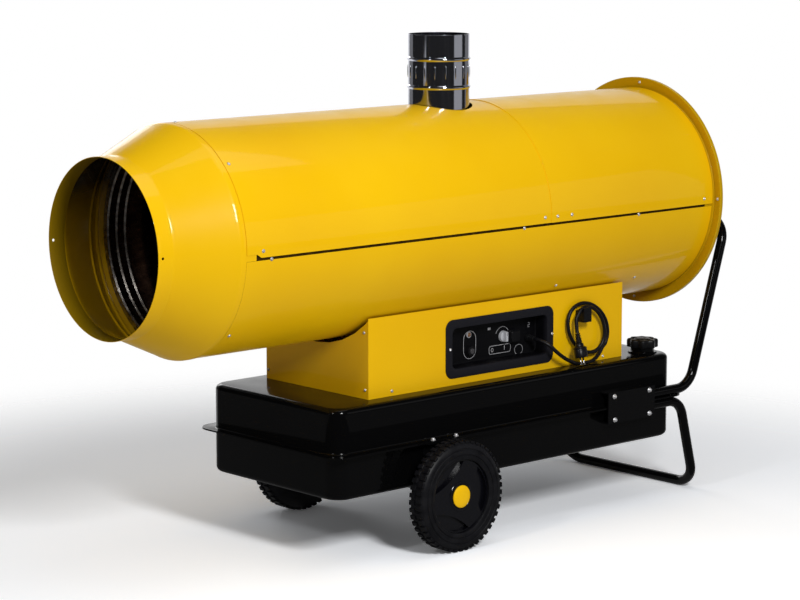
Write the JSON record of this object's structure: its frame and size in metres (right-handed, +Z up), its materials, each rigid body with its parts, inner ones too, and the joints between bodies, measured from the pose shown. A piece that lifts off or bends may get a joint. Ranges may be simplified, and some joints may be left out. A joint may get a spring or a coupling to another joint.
{
  "type": "indirect fired heater",
  "caption": "Wheeled indirect fired space heater: yellow drum with outlet cone and flue on a control box, black fuel tank, push handle, foot stand and coiled power cord.",
  "frame": {"origin": "on the floor, under the middle of the machine's length and width", "axes": "+X along the drum towards the fan end and the push handle, the outlet at -X; the control panel faces -Y; +Z up"},
  "size_m": [1.811, 0.622, 1.1973],
  "materials": {
    "yellow_paint": "semi-gloss powder coat",
    "black_paint": "gloss black paint",
    "dark_steel": "heat-darkened sheet steel",
    "bright_steel": "bare bright steel",
    "stainless": "brushed stainless sheet",
    "panel_plastic": "dark grey moulded plastic",
    "black_plastic": "black moulded plastic",
    "rubber": "black rubber",
    "tyre": "black rubber with lug tread",
    "cord": "black flexible cord jacket",
    "yellow_plastic": "bright yellow moulded plastic",
    "silver_plastic": "silver grey moulded plastic",
    "red_plastic": "red moulded plastic",
    "amber_plastic": "amber lens"
  },
  "bodies": {
    "heater": {"outlet_cone": "yellow_paint", "lower_casing": "yellow_paint", "upper_front_panel": "yellow_paint", "upper_rear_panel": "yellow_paint", "rear_ring": "yellow_paint", "fan_guard": "bright_steel", "inner_liner": "dark_steel", "heat_exchanger": "dark_steel", "combustion_chamber": "dark_steel", "exchanger_foot_front": "dark_steel", "exchanger_foot_rear": "dark_steel", "chamber_foot": "dark_steel", "flue_spigot": "dark_steel", "flue_stack": "stainless", "motor_cross_bar": "dark_steel", "fan_motor": "black_paint", "burner_tube": "bright_steel", "burner_housing": "black_paint", "box_tray": "yellow_paint", "box_front_plate": "yellow_paint", "box_rear_plate": "yellow_paint", "control_bezel": "panel_plastic", "box_side_left": "yellow_paint", "box_side_right": "yellow_paint", "cradle_front": "dark_steel", "cradle_rear": "dark_steel", "burner_control_unit": "black_plastic", "fuel_pickup": "bright_steel", "pilot_lamp": "amber_plastic", "thermostat_socket": "black_plastic", "cable_gland": "black_plastic", "cord_coil": "cord", "cord_lead": "cord", "cord_tail": "cord", "plug_relief": "black_plastic", "plug_body": "black_plastic", "cable_hook": "black_plastic", "tank_upper": "black_paint", "tank_lower": "black_paint", "filler_neck": "black_paint", "drain_plug": "bright_steel", "push_handle": "black_paint", "foot_stand": "black_paint", "tube_clamp_left": "black_paint", "tube_clamp_right": "black_paint", "axle": "bright_steel", "axle_bracket_left": "black_paint", "axle_bracket_right": "black_paint", "hub_cap_left": "yellow_plastic", "hub_cap_right": "yellow_plastic"},
    "wheel_left_set": {"wheel_left": "black_plastic", "tyre_left": "tyre"},
    "wheel_right_set": {"wheel_right": "black_plastic", "tyre_right": "tyre"},
    "fan": {"fan_impeller": "bright_steel", "motor_shaft": "bright_steel"},
    "selector": {"selector_knob": "silver_plastic"},
    "reset": {"reset_button": "red_plastic"},
    "cap_core": {"cap_seal": "rubber"},
    "cap": {"filler_cap": "black_plastic"}
  },
  "joints": [
    {"name": "wheel_left_spin", "type": "hinge", "parent": "heater", "child": "wheel_left_set", "pos_m": [-0.1088, -0.287, 0.133], "axis": [0, 1, 0], "continuous": true},
    {"name": "wheel_right_spin", "type": "hinge", "parent": "heater", "child": "wheel_right_set", "pos_m": [-0.1088, 0.287, 0.133], "axis": [0, 1, 0], "continuous": true},
    {"name": "fan_spin", "type": "hinge", "parent": "heater", "child": "fan", "pos_m": [0.622, 0, 0.7618], "axis": [1, 0, 0], "continuous": true},
    {"name": "selector_turn", "type": "hinge", "parent": "heater", "child": "selector", "pos_m": [0.176, -0.157, 0.463], "axis": [0, -1, 0], "range_deg": [-60, 60]},
    {"name": "reset_press", "type": "slide", "parent": "heater", "child": "reset", "axis": [0, 1, 0], "range_m": [0, 0.003], "stiffness_N_per_m": 300},
    {"name": "cap_lift", "type": "slide", "parent": "heater", "child": "cap_core", "axis": [0, 0, 1], "range_m": [0, 0.08]},
    {"name": "cap_turn", "type": "hinge", "parent": "cap_core", "child": "cap", "pos_m": [0.65, -0.178, 0.4], "axis": [0, 0, 1], "range_deg": [0, 90]}
  ]
}
